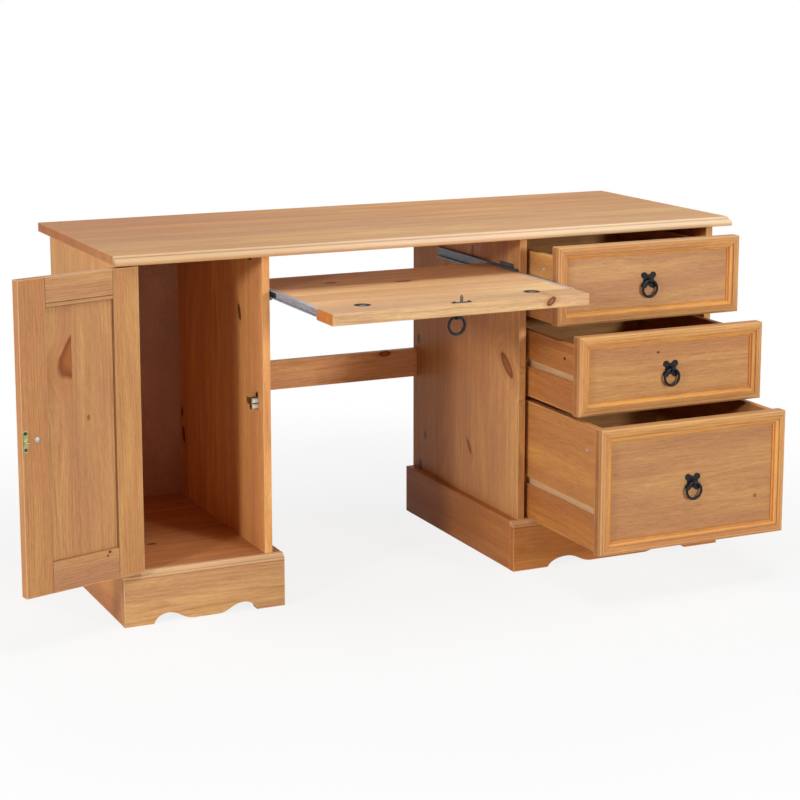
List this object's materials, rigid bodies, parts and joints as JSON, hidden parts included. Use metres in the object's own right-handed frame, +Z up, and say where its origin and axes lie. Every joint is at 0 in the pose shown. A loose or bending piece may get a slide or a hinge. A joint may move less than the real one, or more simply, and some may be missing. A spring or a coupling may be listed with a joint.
{
  "type": "kneehole desk",
  "caption": "Pine kneehole desk with a cupboard pedestal, a drawer pedestal and a pull-out keyboard tray with a drop front, shown open.",
  "frame": {"origin": "on the floor under the middle of the opened desk's outline (bounding box at rest)", "axes": "+X from the cupboard to the drawers along the top, +Y from the front to the back, +Z up"},
  "size_m": [1.7266, 0.9018, 0.795],
  "materials": {
    "pine": "honey-coloured satin lacquer over knotty pine",
    "pine_inside": "thinly lacquered pine, paler in the slots",
    "hardboard": "smooth brown hardboard",
    "black_iron": "satin black lacquered iron",
    "dark_steel": "dark bronzed sheet steel",
    "zinc": "dull grey zinc plating",
    "yellow_zinc": "yellow chromated zinc",
    "nylon": "white nylon",
    "black_plastic": "black moulded plastic"
  },
  "bodies": {
    "carcass": {"desk_top": "pine", "left_outer_panel": "pine", "left_inner_panel": "pine", "right_inner_panel": "pine", "right_outer_panel": "pine", "back_panels": "hardboard", "floor_boards": "pine", "left_plinth_front": "pine", "right_plinth_front": "pine", "left_plinth_sides": "pine", "right_plinth_sides": "pine", "stretcher": "pine", "top_brackets": "dark_steel", "door_catch": "yellow_zinc", "hinge_frame_leaves": "dark_steel", "drawer_runners": "pine_inside", "tray_slide_outer": "zinc"},
    "door": {"door_hinge_stile": "pine", "door_free_stile": "pine", "door_rails": "pine", "door_panel": "pine", "door_pull_plate": "black_iron", "door_strike": "yellow_zinc", "hinge_door_leaves": "dark_steel"},
    "door_ring": {"door_ring": "black_iron"},
    "door_roller_upper": {"door_roller_upper": "nylon"},
    "door_roller_lower": {"door_roller_lower": "nylon"},
    "top_drawer": {"top_drawer_front": "pine", "top_drawer_moulding": "pine", "top_drawer_sides": "pine_inside", "top_drawer_back": "pine_inside", "top_drawer_bottom": "hardboard", "top_drawer_pull_plate": "black_iron"},
    "top_drawer_ring": {"top_drawer_ring": "black_iron"},
    "middle_drawer": {"middle_drawer_front": "pine", "middle_drawer_moulding": "pine", "middle_drawer_sides": "pine_inside", "middle_drawer_back": "pine_inside", "middle_drawer_bottom": "hardboard", "middle_drawer_pull_plate": "black_iron"},
    "middle_drawer_ring": {"middle_drawer_ring": "black_iron"},
    "bottom_drawer": {"bottom_drawer_front": "pine", "bottom_drawer_moulding": "pine", "bottom_drawer_sides": "pine_inside", "bottom_drawer_back": "pine_inside", "bottom_drawer_bottom": "hardboard", "bottom_drawer_pull_plate": "black_iron"},
    "bottom_drawer_ring": {"bottom_drawer_ring": "black_iron"},
    "tray": {"tray_board": "pine", "tray_slide_inner": "zinc", "tray_slide_stops": "black_plastic", "flap_hinge_tray_halves": "black_iron"},
    "flap": {"flap_board": "pine", "flap_hinge_flap_halves": "black_iron", "flap_strike": "yellow_zinc", "flap_pull_plate": "black_iron"},
    "flap_ring": {"flap_ring": "black_iron"}
  },
  "joints": [
    {"name": "door_hinge", "type": "hinge", "parent": "carcass", "child": "door", "pos_m": [-0.59057, -0.11115, 0.446], "axis": [0, 0, -1], "range_deg": [-164, 12]},
    {"name": "door_ring_swing", "type": "hinge", "parent": "door", "child": "door_ring", "pos_m": [-0.83213, -0.17573, 0.446], "axis": [0.9613, 0.2756, 0], "range_deg": [0, 100]},
    {"name": "door_roller_upper_spin", "type": "hinge", "parent": "carcass", "child": "door_roller_upper", "pos_m": [-0.31157, -0.07815, 0.4522], "axis": [1, 0, 0], "continuous": true},
    {"name": "door_roller_lower_spin", "type": "hinge", "parent": "carcass", "child": "door_roller_lower", "pos_m": [-0.31157, -0.07815, 0.4398], "axis": [1, 0, 0], "continuous": true},
    {"name": "top_drawer_slide", "type": "slide", "parent": "carcass", "child": "top_drawer", "axis": [0, -1, 0], "range_m": [-0.131, 0.237]},
    {"name": "top_drawer_ring_swing", "type": "hinge", "parent": "top_drawer", "child": "top_drawer_ring", "pos_m": [0.57843, -0.24665, 0.6788], "axis": [-1, 0, 0], "range_deg": [0, 100]},
    {"name": "middle_drawer_slide", "type": "slide", "parent": "carcass", "child": "middle_drawer", "axis": [0, -1, 0], "range_m": [-0.23, 0.138]},
    {"name": "middle_drawer_ring_swing", "type": "hinge", "parent": "middle_drawer", "child": "middle_drawer_ring", "pos_m": [0.57843, -0.34565, 0.4939], "axis": [-1, 0, 0], "range_deg": [0, 100]},
    {"name": "bottom_drawer_slide", "type": "slide", "parent": "carcass", "child": "bottom_drawer", "axis": [0, -1, 0], "range_m": [-0.329, 0.039]},
    {"name": "bottom_drawer_ring_swing", "type": "hinge", "parent": "bottom_drawer", "child": "bottom_drawer_ring", "pos_m": [0.57843, -0.44465, 0.25785], "axis": [-1, 0, 0], "range_deg": [0, 100]},
    {"name": "tray_slide", "type": "slide", "parent": "carcass", "child": "tray", "axis": [0, -1, 0], "range_m": [-0.273, 0]},
    {"name": "flap_hinge", "type": "hinge", "parent": "tray", "child": "flap", "pos_m": [0.01743, -0.35515, 0.696], "axis": [-1, 0, 0], "range_deg": [0, 90]},
    {"name": "flap_ring_swing", "type": "hinge", "parent": "flap", "child": "flap_ring", "pos_m": [0.01743, -0.39265, 0.6625], "axis": [1, 0, 0], "range_deg": [-90, 90]}
  ]
}
